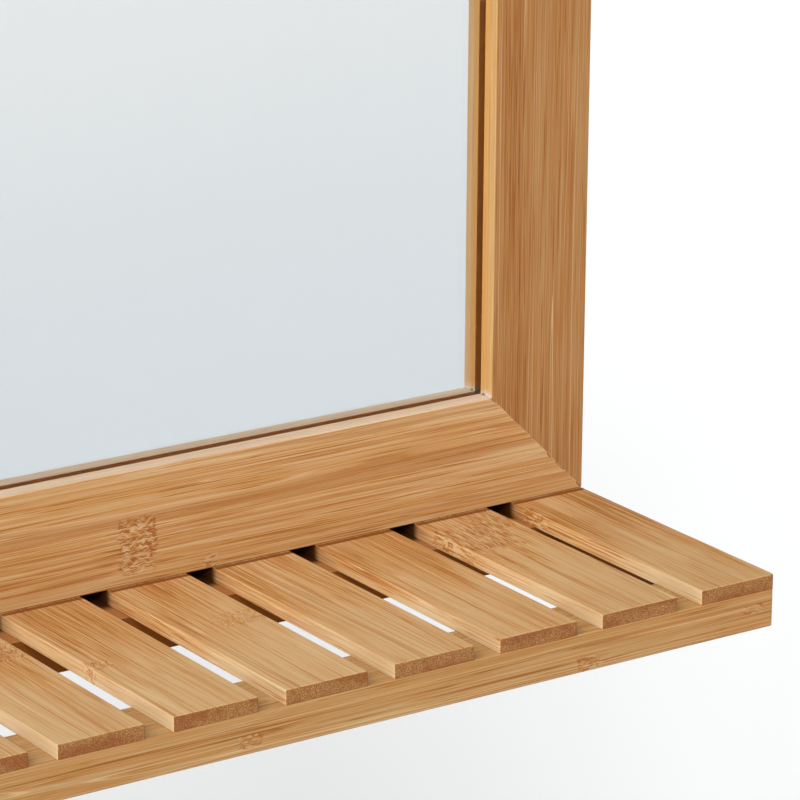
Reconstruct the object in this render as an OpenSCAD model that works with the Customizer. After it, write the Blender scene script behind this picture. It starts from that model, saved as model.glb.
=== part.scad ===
// Wall mirror in a mitred bamboo frame that stands on a slatted bamboo shelf.
// Millimetres, +Z up, the front faces -Y. The origin lies on the wall plane (the back of the frame),
// halfway between the round entries of the two keyhole hangers. The whole mirror hangs on two screws.

/* [Frame] */
// Width of the frame, and of the shelf below it
frame_w = 500; // [420:1:800]
// Height of the frame above the shelf
frame_h = 682; // [400:1:900]
// Face width of the four frame members
member_w = 38; // [36:0.5:60]
// Thickness of the frame members, front to back
member_t = 15; // [14.5:0.5:22]
// Thickness of the lip that covers the edge of the glass
lip_t = 6.4; // [5.5:0.1:7]
// Radius on the front edge of the members round the opening
opening_arris_r = 0.4; // [0.2:0.1:2]
// Radius on the front outer edge of the members
arris_r = 0.5; // [0.4:0.1:3]
// Radius on the back outer edge of the members
back_arris_r = 0.8; // [0.2:0.1:1.2]
// Radius of the frame's four corners, seen from the front
corner_r = 1.3; // [0.5:0.1:4]

/* [Mirror] */
// Thickness of the glass
glass_t = 3; // [2:0.5:4]
// Thickness of the silvering and its protective paint
silver_t = 0.1; // [0.05:0.05:0.3]
// Thickness of the backing board
board_t = 3; // [2:0.5:3.5]
// How far the glass reaches behind the lip
glass_lap = 7; // [4:0.5:9]
// Gap round the glass in its rebate
glass_play = 1; // [0.5:0.1:2]
// How far the board reaches past the opening
board_lap = 16; // [15:0.5:17]
// Gap round the board in its rebate
board_play = 0.5; // [0.3:0.1:1]

/* [Shelf] */
// How far the shelf stands out in front of the frame
shelf_out = 103.5; // [80:0.5:160]
// Number of slats, spread evenly over the width
slat_n = 13; // [11:1:16]
// Width of a slat
slat_w = 29.5; // [20:0.5:36]
// Thickness of a slat
slat_t = 4.9; // [4:0.1:10]
// Radius along the long top edges of a slat
slat_arris_r = 0.7; // [0.2:0.1:2]
// Radius on the front end of a slat
slat_end_r = 0.5; // [0.2:0.1:1]
// Height of the rails under the slats
rail_h = 13.1; // [10:0.1:20]
// Depth of the front rail, front to back
front_rail_d = 24.3; // [22:0.1:34]
// Depth of the rear rail, front to back
rear_rail_d = 28.3; // [26:0.1:34]
// Width of the two side rails
side_rail_w = 20; // [14:0.5:26]
// Radius on the lower edges and corners of the rails
rail_arris_r = 1.5; // [0.5:0.1:3]
// Radius on the upper front edge of the front rail
rail_top_r = 0.4; // [0.1:0.1:0.8]

/* [Hangers] */
// Distance of the keyhole entries below the top of the frame
hanger_drop = 60; // [50:1:120]
// Width of a hanger plate
hanger_w = 16; // [15:0.5:17]
// Height of a hanger plate
hanger_h = 46; // [44:1:60]
// Thickness of a hanger plate
hanger_t = 1.5; // [1:0.1:2]
// Radius of a plate's corners
hanger_corner_r = 3; // [1:0.5:5]
// Radius of the keyhole's round entry
entry_r = 4.5; // [4:0.1:5]
// Half width of the keyhole's slot
slot_r = 2.2; // [1.8:0.1:2.6]
// How far the slot rises above the entry
slot_rise = 9; // [7:0.5:11]
// Width of the pocket behind a plate that takes the screw head
pocket_w = 12; // [11:0.5:13]
// Depth of that pocket, measured from the plate
pocket_d = 6; // [5:0.5:7]
// Distance of a plate's two screws from its ends
hanger_screw_inset = 5; // [4.5:0.5:6]

/* [Screws, splines and dowels] */
// Clearance between a fastener and its hole, on the radius
hole_gap = 0.1; // [0.05:0.05:0.2]
// Clearance between a hanger plate or a spline and its recess, on each side
seat_gap = 0.2; // [0.1:0.1:0.3]
// Shank radius of the small screws in the plates, board and slats
screw_r = 1.5; // [1:0.1:1.7]
// Head radius of the small screws
screw_head_r = 2.8; // [2.4:0.1:3]
// Head height of the small screws
screw_head_h = 1.4; // [1:0.1:1.5]
// Length of the screws that hold the hanger plates
hanger_screw_l = 11; // [8:0.5:12]
// How far the board's screws reach into the frame
board_screw_bite = 6; // [4:0.5:7]
// Number of board screws along each stile
board_screws_up = 4; // [2:1:6]
// Number of board screws along each of the top and bottom rails
board_screws_across = 3; // [2:1:5]
// Wood left between a slat's top and the tips of its screws
slat_skin = 1.4; // [1:0.1:2]
// Distance of the slats' front screws from the front of the shelf
front_screw_inset = 9; // [6:0.5:10]
// Distance of the slats' rear screws from the front of the rear rail
rear_screw_inset = 14; // [13:0.5:15]
// Shank radius of the long screws that join the shelf and the frame
long_screw_r = 2; // [1.5:0.1:2.5]
// Head radius of the long screws
long_head_r = 4; // [3:0.1:4.5]
// Head height of the long screws
long_head_h = 2.4; // [1.5:0.1:3]
// How far the long screws reach into the bottom rail
long_screw_bite = 20; // [15:1:24]
// Thickness of the splines in the mitres
spline_t = 3; // [2:0.5:3.5]
// Length of a spline across its mitre
spline_l = 20; // [14:1:22]
// Width of a spline along its mitre
spline_w = 12; // [8:1:12]
// Distance of a spline's middle from the frame's outer faces
spline_inset = 15; // [14:0.5:16]
// Radius of the dowels between the shelf's rails
dowel_r = 3; // [2:0.5:4]
// How far a dowel reaches into each rail
dowel_reach = 10; // [8:0.5:12]

/* [Hidden] */
$fn = 48;
over = 1; // how far a cut runs past the face that it opens
frame_top = hanger_drop;
frame_bottom = frame_top - frame_h; // also the top of the slats
frame_mid = (frame_top + frame_bottom) / 2;
opening_w = frame_w - 2 * member_w;
opening_h = frame_h - 2 * member_w;
glass_rebate = glass_lap + glass_play;
board_rebate = board_lap + board_play;
board_seat = lip_t + glass_t + silver_t; // depth of the board's front face behind the frame's front
step_mid = (board_rebate + glass_rebate) / 2; // middle of the step that the board is screwed to
shelf_front = -member_t - shelf_out;
slat_l = shelf_out + member_t;
slat_pitch = (frame_w - slat_w) / (slat_n - 1);
slat_bottom = frame_bottom - slat_t;
rail_bottom = slat_bottom - rail_h;
front_rail_back = shelf_front + front_rail_d;
rear_rail_front = -rear_rail_d;
side_rail_l = rear_rail_front - front_rail_back;
dowel_x = frame_w / 2 - side_rail_w / 2;
dowel_z = slat_bottom - rail_h / 2;
slat_screw_l = rail_h + slat_t - slat_skin;
slat_screw_rows = [shelf_front + front_screw_inset, rear_rail_front + rear_screw_inset];
long_screw_slats = [1, round((slat_n - 1) / 3), round(2 * (slat_n - 1) / 3), slat_n - 2];
long_screw_l = rail_h + slat_t + long_screw_bite;
// The hangers sit in the middle of the wood that the board's rebate leaves.
hanger_x = frame_w / 2 - (member_w - board_rebate) / 2;
hanger_mid = slot_rise / 2;
hanger_screw_rise = hanger_h / 2 - hanger_screw_inset;
pocket_end = (pocket_w - 2 * slot_r) / 2 + slot_r; // how far the pocket runs past the entry and the slot

function slat_x(i) = (i - (slat_n - 1) / 2) * slat_pitch;
function slat_name(i) = str("slat_", i < 9 ? "0" : "", i + 1);

// ---------- shared shapes ----------

// What a rounded corner at the origin takes off a square.
module corner_waste(r) {
    difference() {
        translate([-over, -over]) square(r + over);
        translate([r, r]) circle(r);
    }
}

// A rectangle from the origin with a radius for each corner, anticlockwise from the origin's; 0 stays sharp.
module eased_rectangle(w, h, radii) {
    corners = [[0, 0], [w, 0], [w, h], [0, h]];
    difference() {
        square([w, h]);
        for (k = [0:3])
            if (radii[k] > 0)
                translate(corners[k]) rotate(90 * k) corner_waste(radii[k]);
    }
}

// Extrusions of an outline: along +Z, along +Y from its X-Z view, and along +X from its Y-Z view.
module run_up(l) {
    linear_extrude(l) children();
}
module run_back(l) {
    translate([0, l, 0]) rotate([90, 0, 0]) linear_extrude(l) children();
}
module run_across(l) {
    rotate([90, 0, 90]) linear_extrude(l) children();
}

// A countersunk screw from its head at the origin to its tip at +Z.
module sunk_screw(r, head_r, head_h, l) {
    rotate_extrude()
        polygon([[0, 0], [head_r, 0], [r, head_h], [r, l - r], [0, l]]);
}

// The hole for a countersunk screw.
module sunk_hole(r, head_r, head_h, l) {
    g = hole_gap;
    rotate_extrude()
        polygon([[0, -over], [head_r + g, -over], [head_r + g, 0],
                 [r + g, head_h], [r + g, l + g], [0, l + g]]);
}

// A pan head screw that seats on the plane z = 0 and points to +Z.
module pan_screw(r, head_r, head_h, l) {
    rotate_extrude()
        polygon([[0, -head_h], [head_r - head_h / 3, -head_h], [head_r, -head_h * 2 / 3], [head_r, 0],
                 [r, 0], [r, l - r], [0, l]]);
}

// Copies of a shape on the left and the right.
module both_sides() {
    children();
    mirror([1, 0, 0]) children();
}

// ---------- frame ----------

// Section of a member: X runs from the outer edge to the opening, Y from the front to the back.
module member_section() {
    difference() {
        eased_rectangle(member_w, member_t, [arris_r, opening_arris_r, 0, back_arris_r]);
        translate([member_w - glass_rebate, lip_t]) square([glass_rebate + over, member_t]);
        translate([member_w - board_rebate, board_seat]) square([board_rebate + over, member_t]);
    }
}

// A member that stands on its outer corner, mitred at both ends.
module mitred_member(l) {
    intersection() {
        run_up(l) member_section();
        translate([0, -over, 0])
            run_back(member_t + 2 * over)
                polygon([[-over, -over], [member_w + over, member_w + over],
                         [member_w + over, l - member_w - over], [-over, l + over]]);
    }
}

// The frame's outline with its eased corners.
module frame_outline() {
    translate([-frame_w / 2, -member_t - over, frame_bottom])
        run_back(member_t + 2 * over)
            eased_rectangle(frame_w, frame_h, [corner_r, corner_r, corner_r, corner_r]);
}

// Places a shape at each of the four mitres, with its X across the joint.
module at_mitres() {
    for (side = [0, 1], up = [0, 1])
        translate([0, 0, frame_mid])
            mirror([side, 0, 0]) mirror([0, 0, up])
                translate([spline_inset - frame_w / 2, -member_t / 2, spline_inset - frame_h / 2])
                    rotate([0, 45, 0]) children();
}

module spline_blank(gap) {
    cube([spline_l + 2 * gap, spline_t + 2 * gap, spline_w + 2 * gap], center = true);
}

// Places a shape at every screw of the board, at the board's back face, pointing to the front.
module at_board_screws() {
    x = opening_w / 2 + step_mid;
    z = opening_h / 2 + step_mid;
    translate([0, board_seat + board_t - member_t, frame_mid]) {
        for (side = [-1, 1], k = [0:board_screws_up - 1])
            translate([side * x, 0, ((k + 0.5) / board_screws_up - 0.5) * opening_h])
                rotate([90, 0, 0]) children();
        for (side = [-1, 1], k = [0:board_screws_across - 1])
            translate([((k + 0.5) / board_screws_across - 0.5) * opening_w, 0, side * z])
                rotate([90, 0, 0]) children();
    }
}

module board_screw_holes() {
    depth = board_t + board_screw_bite + hole_gap;
    at_board_screws() translate([0, 0, -over]) cylinder(r = screw_r + hole_gap, h = over + depth);
}

module stile() {
    difference() {
        intersection() {
            translate([-frame_w / 2, -member_t, frame_bottom]) mitred_member(frame_h);
            frame_outline();
        }
        at_mitres() spline_blank(seat_gap);
        board_screw_holes();
        hanger_recess();
    }
}

module rail() {
    difference() {
        intersection() {
            translate([-frame_w / 2, -member_t, frame_bottom]) mirror([1, 0, -1]) mitred_member(frame_w);
            frame_outline();
        }
        at_mitres() spline_blank(seat_gap);
        board_screw_holes();
    }
}

module left_stile() {
    color("#c99a63") stile();
}

module right_stile() {
    color("#c99a63") mirror([1, 0, 0]) stile();
}

module top_rail() {
    color("#cfa26b")
        translate([0, 0, frame_mid]) mirror([0, 0, 1]) translate([0, 0, -frame_mid]) rail();
}

module bottom_rail() {
    color("#cfa26b")
        difference() {
            rail();
            long_screw_holes();
        }
}

module corner_splines() {
    color("#b98b55") at_mitres() spline_blank(0);
}

// ---------- mirror ----------

// A sheet that reaches past the opening on every side, with its front at a depth behind the frame's front.
module sheet(lap, depth, t) {
    w = opening_w + 2 * lap;
    h = opening_h + 2 * lap;
    translate([-w / 2, depth - member_t, frame_mid - h / 2]) cube([w, t, h]);
}

module mirror_glass() {
    color("#cfe0dd", 0.5) sheet(glass_lap, lip_t, glass_t);
}

module mirror_silvering() {
    color("#d5dadd") sheet(glass_lap, lip_t + glass_t, silver_t);
}

module backing_board() {
    color("#6b4a2f")
        difference() {
            sheet(board_lap, board_seat, board_t);
            board_screw_holes();
        }
}

module board_screws() {
    color("#b9bcc0") at_board_screws() pan_screw(screw_r, screw_head_r, screw_head_h, board_t + board_screw_bite);
}

// ---------- hangers ----------

// The left hanger's plate outline grown by a gap, seen from the front.
module plate_outline(gap) {
    w = hanger_w + 2 * gap;
    h = hanger_h + 2 * gap;
    r = hanger_corner_r + gap;
    translate([-hanger_x - w / 2, hanger_mid - h / 2]) eased_rectangle(w, h, [r, r, r, r]);
}

// A slot with round ends, from the entry's centre up to the top of the slot's travel.
module upright_slot(r) {
    translate([-hanger_x, 0]) {
        circle(r);
        translate([0, slot_rise]) circle(r);
        translate([-r, 0]) square([2 * r, slot_rise]);
    }
}

module at_hanger_screws() {
    for (side = [-1, 1])
        translate([-hanger_x, 0, hanger_mid + side * hanger_screw_rise]) rotate([90, 0, 0]) children();
}

// The bed of the left plate, the pocket for the screw head behind it, and the plate's screw holes.
module hanger_recess() {
    translate([0, -hanger_t, 0]) run_back(hanger_t + over) plate_outline(seat_gap);
    translate([0, -hanger_t - pocket_d, 0]) run_back(pocket_d + over) upright_slot(pocket_w / 2);
    at_hanger_screws() sunk_hole(screw_r, screw_head_r, screw_head_h, hanger_screw_l);
}

module hanger() {
    difference() {
        translate([0, -hanger_t, 0])
            run_back(hanger_t)
                difference() {
                    plate_outline(0);
                    upright_slot(slot_r);
                    translate([-hanger_x, 0]) circle(entry_r);
                }
        at_hanger_screws() sunk_hole(screw_r, screw_head_r, screw_head_h, hanger_screw_l);
    }
}

module left_hanger() {
    color("#c3c6ca") hanger();
}

module right_hanger() {
    color("#c3c6ca") mirror([1, 0, 0]) hanger();
}

module hanger_screws() {
    color("#b9bcc0")
        both_sides() at_hanger_screws() sunk_screw(screw_r, screw_head_r, screw_head_h, hanger_screw_l);
}

// ---------- shelf ----------

// Slat i is what its front view, its side view and its plan have in common.
// The two outermost slats take the shelf's own corner radius.
module slat(i) {
    left_r = i == 0 ? corner_r : slat_end_r;
    right_r = i == slat_n - 1 ? corner_r : slat_end_r;
    color(i % 2 == 0 ? "#cfa36b" : "#d3aa74")
        difference() {
            translate([slat_x(i) - slat_w / 2, shelf_front, slat_bottom])
                intersection() {
                    run_back(slat_l) eased_rectangle(slat_w, slat_t, [0, 0, slat_arris_r, slat_arris_r]);
                    run_across(slat_w) eased_rectangle(slat_l, slat_t, [0, 0, 0, slat_end_r]);
                    run_up(slat_t) eased_rectangle(slat_w, slat_l, [left_r, right_r, 0, 0]);
                }
            at_slat_screws(i) sunk_hole(screw_r, screw_head_r, screw_head_h, slat_screw_l);
            if (search(i, long_screw_slats)) long_screw_holes();
        }
}

// The outline of the rails under the slats, seen from the front, over the whole depth of the shelf.
module rail_outline() {
    translate([-frame_w / 2, shelf_front, rail_bottom])
        run_back(slat_l) eased_rectangle(frame_w, rail_h, [rail_arris_r, rail_arris_r, 0, 0]);
}

// The screws that come up through the rails into slat i.
module at_slat_screws(i) {
    for (y = slat_screw_rows)
        translate([slat_x(i), y, rail_bottom]) children();
}

module slat_screw_holes() {
    for (i = [0:slat_n - 1])
        at_slat_screws(i) sunk_hole(screw_r, screw_head_r, screw_head_h, slat_screw_l);
}

// The long screws that come up through the rear rail and a slat into the frame's bottom rail.
module at_long_screws() {
    for (i = long_screw_slats)
        translate([slat_x(i), -member_t / 2, rail_bottom]) children();
}

module long_screw_holes() {
    at_long_screws() sunk_hole(long_screw_r, long_head_r, long_head_h, long_screw_l);
}

// The dowels of the left side rail, along +Y, each centred on its joint.
module at_dowels() {
    for (y = [front_rail_back, rear_rail_front])
        translate([-dowel_x, y, dowel_z]) rotate([-90, 0, 0]) children();
}

module dowel_holes() {
    l = 2 * (dowel_reach + hole_gap);
    at_dowels() translate([0, 0, -l / 2]) cylinder(r = dowel_r + hole_gap, h = l);
}

module front_rail() {
    color("#c8985f")
        difference() {
            intersection() {
                translate([-frame_w / 2, shelf_front, rail_bottom])
                    run_across(frame_w)
                        eased_rectangle(front_rail_d, rail_h, [rail_arris_r, 0, 0, rail_top_r]);
                translate([-frame_w / 2, shelf_front, rail_bottom])
                    run_up(rail_h) eased_rectangle(frame_w, slat_l, [corner_r, corner_r, 0, 0]);
                rail_outline();
            }
            slat_screw_holes();
            both_sides() dowel_holes();
        }
}

module rear_rail() {
    color("#b9874f")
        difference() {
            intersection() {
                translate([-frame_w / 2, rear_rail_front, rail_bottom]) cube([frame_w, rear_rail_d, rail_h]);
                rail_outline();
            }
            slat_screw_holes();
            long_screw_holes();
            both_sides() dowel_holes();
        }
}

module side_rail() {
    difference() {
        intersection() {
            translate([-frame_w / 2, front_rail_back, rail_bottom]) cube([side_rail_w, side_rail_l, rail_h]);
            rail_outline();
        }
        dowel_holes();
    }
}

module left_side_rail() {
    color("#c08f57") side_rail();
}

module right_side_rail() {
    color("#c08f57") mirror([1, 0, 0]) side_rail();
}

module side_rail_dowels() {
    color("#d9b98a")
        both_sides() at_dowels() translate([0, 0, -dowel_reach]) cylinder(r = dowel_r, h = 2 * dowel_reach);
}

module slat_screws() {
    color("#b9bcc0")
        for (i = [0:slat_n - 1])
            at_slat_screws(i) sunk_screw(screw_r, screw_head_r, screw_head_h, slat_screw_l);
}

module frame_screws() {
    color("#b9bcc0") at_long_screws() sunk_screw(long_screw_r, long_head_r, long_head_h, long_screw_l);
}

top_rail();
bottom_rail();
left_stile();
right_stile();
corner_splines();
mirror_glass();
mirror_silvering();
backing_board();
board_screws();
left_hanger();
right_hanger();
hanger_screws();
front_rail();
rear_rail();
left_side_rail();
right_side_rail();
side_rail_dowels();
slat_screws();
frame_screws();
for (i = [0:slat_n - 1])
    slat(i);
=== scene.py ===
"""Looks for a wall mirror: a mitred bamboo frame that stands on a slatted bamboo shelf.

All lengths in the classes are millimetres, in the frame of the CAD part: X to the right, Y into the
wall, Z up, with the origin on the wall plane between the two keyhole entries. Meshes are written in
metres, and every object stays at the origin with its place in its mesh.
"""

import logging
import math
from dataclasses import dataclass, replace
from enum import Enum
from itertools import product
from typing import Any, Callable, Mapping, Sequence, Union

import bpy
import numpy as np
from mathutils import Matrix, Vector


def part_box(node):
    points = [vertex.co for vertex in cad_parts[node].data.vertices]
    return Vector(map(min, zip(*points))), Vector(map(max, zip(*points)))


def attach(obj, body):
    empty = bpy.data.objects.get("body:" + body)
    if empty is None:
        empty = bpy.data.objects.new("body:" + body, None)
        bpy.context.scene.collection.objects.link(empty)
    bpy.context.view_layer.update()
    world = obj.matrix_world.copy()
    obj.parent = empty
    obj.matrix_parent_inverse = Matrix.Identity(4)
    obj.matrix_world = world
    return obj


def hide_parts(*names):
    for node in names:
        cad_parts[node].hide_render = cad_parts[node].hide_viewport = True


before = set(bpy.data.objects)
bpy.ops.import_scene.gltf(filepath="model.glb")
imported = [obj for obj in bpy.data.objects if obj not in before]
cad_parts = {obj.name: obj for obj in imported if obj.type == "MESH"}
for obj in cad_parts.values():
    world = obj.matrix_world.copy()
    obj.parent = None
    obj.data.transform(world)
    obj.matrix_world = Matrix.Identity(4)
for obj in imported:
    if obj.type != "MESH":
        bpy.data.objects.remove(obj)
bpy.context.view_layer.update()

LOG = logging.getLogger("mirror_shelf")
MM = 0.001
Colour = tuple[float, float, float]
Number = Union["Signal", float]


# ---- shader arithmetic


def operator(operation: str, reflected: bool = False) -> Callable[["Signal", Number], "Signal"]:
    """Makes an operator of Signal.

    Args:
        operation: operation of the Math node that it adds.
        reflected: whether the signal stands on the right.

    Returns:
        The operator's method.
    """

    def apply(self: "Signal", other: Number) -> "Signal":
        """Adds the node."""
        sides = {0: other, 1: self} if reflected else {0: self, 1: other}
        return self.tree.add("ShaderNodeMath", {"operation": operation}, sides)

    return apply


class Signal:
    """A value that changes over a surface: one output of a shader node, used in plain arithmetic.

    The | of two masks is the larger of the two, which joins them.
    """

    __add__, __radd__ = operator("ADD"), operator("ADD", True)
    __sub__, __rsub__ = operator("SUBTRACT"), operator("SUBTRACT", True)
    __mul__, __rmul__ = operator("MULTIPLY"), operator("MULTIPLY", True)
    __truediv__, __or__ = operator("DIVIDE"), operator("MAXIMUM")

    def __init__(self, tree: "ShaderTree", socket: bpy.types.NodeSocket) -> None:
        """Wraps an output socket of a node in a tree."""
        self.tree, self.socket = tree, socket

    def __floordiv__(self, other: float) -> "Signal":
        """The whole number of times that other goes into self."""
        return self.tree.add("ShaderNodeMath", {"operation": "FLOOR"}, {0: self / other})

    def __abs__(self) -> "Signal":
        """The size of self without its sign."""
        return self.tree.add("ShaderNodeMath", {"operation": "ABSOLUTE"}, {0: self})

    def ease(self, low: float, high: float) -> "Signal":
        """A smooth step: 0 at low and 1 at high, and the other way round where low is the larger.

        Args:
            low: value of self where the step gives 0.
            high: value of self where the step gives 1.

        Returns:
            The eased value, between 0 and 1.
        """
        ends = (low, high, 0.0, 1.0) if low < high else (high, low, 1.0, 0.0)
        inputs = {0: self, 1: ends[0], 2: ends[1], 3: ends[2], 4: ends[3]}
        return self.tree.add("ShaderNodeMapRange", {"interpolation_type": "SMOOTHSTEP"}, inputs)

    def near(self, middle: float, outer: float, inner: float) -> "Signal":
        """A soft line where self is middle: 1 within inner of it, and 0 from outer on."""
        return abs(self - middle).ease(outer, inner)


class ShaderTree:
    """The node tree of a material or of the room, filled from Python expressions."""

    def __init__(self, owner: bpy.types.Material | bpy.types.World) -> None:
        """Empties the node tree of its owner."""
        self.owner = owner
        owner.use_nodes = True
        owner.node_tree.nodes.clear()

    def add(
        self,
        kind: str,
        settings: Mapping[str, Any] | None = None,
        inputs: Mapping[int | str, Any] | None = None,
        output: int = 0,
    ) -> Signal:
        """Adds a node, sets it up and then fills its sockets.

        Args:
            kind: the node's type.
            settings: properties of the node; "stops" holds a ramp's (position, colour) pairs.
            inputs: a number, colour or signal for each input, by its place or name.
            output: place of the output that is returned.

        Returns:
            The chosen output as a signal.
        """
        nodes, links = self.owner.node_tree.nodes, self.owner.node_tree.links
        node = nodes.new(kind)
        for key, value in (settings or {}).items():
            if key == "stops":
                ramp = node.color_ramp
                while len(ramp.elements) < len(value):
                    ramp.elements.new(1.0)
                for element, (position, colour) in zip(ramp.elements, value):
                    element.position, element.color = position, (*colour, 1.0)
            else:
                setattr(node, key, value)
        for key, value in (inputs or {}).items():
            if isinstance(value, Signal):
                links.new(value.socket, node.inputs[key])
            else:
                node.inputs[key].default_value = value
        return Signal(self, node.outputs[output] if len(node.outputs) else None)

    def place(self, scale: float = 1.0 / MM) -> Signal:
        """The place on the piece: metres times scale, which is millimetres where none is given."""
        here = self.add("ShaderNodeTexCoord", output=3)
        return self.add("ShaderNodeVectorMath", {"operation": "SCALE"}, {0: here, 3: scale})

    def split(self, vector: Signal) -> tuple[Signal, Signal, Signal]:
        """The X, Y and Z of a vector."""
        x = self.add("ShaderNodeSeparateXYZ", {}, {0: vector})
        outputs = x.socket.node.outputs
        return x, Signal(self, outputs[1]), Signal(self, outputs[2])

    def vector(self, x: Number, y: Number, z: Number) -> Signal:
        """Three numbers as one vector."""
        return self.add("ShaderNodeCombineXYZ", {}, {0: x, 1: y, 2: z})

    def noise(self, where: Signal, detail: float = 2.0, rough: float = 0.5, swirl: float = 0.0) -> Signal:
        """Smooth noise about 0.5, with features about one unit of its coordinates in size.

        Args:
            where: coordinates, already scaled.
            detail: number of finer layers.
            rough: weight of each finer layer.
            swirl: how far the pattern distorts itself.

        Returns:
            The noise, mostly between 0.25 and 0.75.
        """
        inputs = {"Vector": where, "Scale": 1.0, "Detail": detail, "Roughness": rough, "Distortion": swirl}
        return self.add("ShaderNodeTexNoise", {"noise_dimensions": "3D"}, inputs)

    def blend(self, factor: Number, first: Signal | Colour, second: Signal | Colour) -> Signal:
        """Mixes two colours, where factor is the share of the second."""
        pair = [c if isinstance(c, Signal) else (*c, 1.0) for c in (first, second)]
        inputs = {0: factor, 6: pair[0], 7: pair[1]}
        return self.add("ShaderNodeMix", {"data_type": "RGBA"}, inputs, output=2)

    def surface(
        self,
        base: Signal | Colour,
        rough: Number,
        relief: Signal | None = None,
        depth: float = 0.0,
        dull: tuple[Signal, Signal] | None = None,
        **uniform: float,
    ) -> bpy.types.Material:
        """Closes the tree with one shader, or with two where a part of the surface is quite dull.

        Args:
            base: base colour, as a colour or a signal.
            rough: roughness, as a number or a signal.
            relief: height of the surface from 0 to 1, for the bump.
            depth: height in millimetres of a relief of 1.
            dull: mask and colour of the part that reflects no sheen at all.
            **uniform: other sockets of the shader, with the same value all over.

        Returns:
            The finished material.
        """
        inputs: dict[str, Any] = {name.replace("_", " "): value for name, value in uniform.items()}
        inputs["Base Color"] = base if isinstance(base, Signal) else (*base, 1.0)
        inputs["Roughness"] = rough
        if relief is not None:
            bump = {"Strength": 1.0, "Distance": depth * MM, "Height": relief}
            inputs["Normal"] = self.add("ShaderNodeBump", {}, bump)
        shader = self.add("ShaderNodeBsdfPrincipled", {}, inputs)
        if dull:
            flat = {"Base Color": dull[1], "Roughness": 1.0, "Specular IOR Level": 0.0}
            second = self.add("ShaderNodeBsdfPrincipled", {}, flat)
            shader = self.add("ShaderNodeMixShader", {}, {0: dull[0], 1: shader, 2: second})
        self.add("ShaderNodeOutputMaterial", {}, {"Surface": shader})
        return self.owner


# ---- bamboo

FACE = -15.0  # the frame's face
LIP_BACK = -8.6  # back of the lip, where the glass lies on it
HALF_WIDTH = 250.0  # the outer sides of the frame and of the shelf
MAIN_SHADE = 0.42  # the wood's usual shade, between 0 for pale and 1 for dark


class Grain(Enum):
    """How a piece's fibres lie: the axes, by number, along them, across its face and into its depth."""

    ACROSS = (0, 2, 1)
    UP = (2, 0, 1)
    FRONT_TO_BACK = (1, 0, 2)


@dataclass(frozen=True)
class Streaks:
    """One layer of the grain: noise that is stretched along the fibres.

    Its streaks are about 1 / along millimetres long and 1 / across wide. Shift and deeper only move
    the pattern, so that no layer follows another.
    """

    along: float
    across: float
    shift: float = 0.0
    deeper: float = 0.0
    detail: float = 1.0
    rough: float = 0.5

    def on(self, grid: Signal, short: float = 1.0, narrow: float = 1.0) -> Signal:
        """Lays the streaks on a board: noise at grid * scale + shift.

        Args:
            grid: place along the grain, across it and into the board.
            short: how many times shorter than usual the streaks are.
            narrow: how many times narrower than usual they are.

        Returns:
            The noise, about 0.5.
        """
        width = self.across * narrow
        inputs = {0: grid, 1: (self.along * short, width, width), 2: (self.shift, 0.0, self.deeper)}
        where = grid.tree.add("ShaderNodeVectorMath", {"operation": "MULTIPLY_ADD"}, inputs)
        return grid.tree.noise(where, self.detail, self.rough)


WANDER = Streaks(0.009, 0.03, detail=2.0)
BUNDLES = Streaks(0.0095, 2.0, detail=3.0, rough=0.62)
HAIRS = Streaks(0.016, 3.1)
BANDS = Streaks(0.0035, 0.12, detail=0.0)
PATCHES = Streaks(0.035, 0.10, deeper=5.0)
GROOVES = Streaks(0.0052, 1.3, shift=17.0)
FLECKS = Streaks(0.085, 2.0, shift=5.0, detail=0.0)
FINE_LINES = Streaks(0.011, 1.45, shift=9.0, detail=0.0)
LINE_ENDS = Streaks(0.021, 0.6, shift=-7.0)
THREADS = Streaks(0.004, 0.30, shift=31.0, detail=0.0)
WARMTH = Streaks(0.009, 1.15, shift=-3.0, detail=1.5, rough=0.6)
RAGGED = Streaks(0.25, 0.5)
DASHES = Streaks(0.075, 1.25)


@dataclass(frozen=True)
class CulmNode:
    """A node of the bamboo culm that shows as a crinkled mark in one strip of a board.

    Along and across are the place of its middle, and stretch draws its strokes out along the grain.
    """

    along: float
    across: float
    half_length: float = 6.0
    half_width: float = 9.0
    strength: float = 1.0
    stretch: float = 1.0


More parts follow.
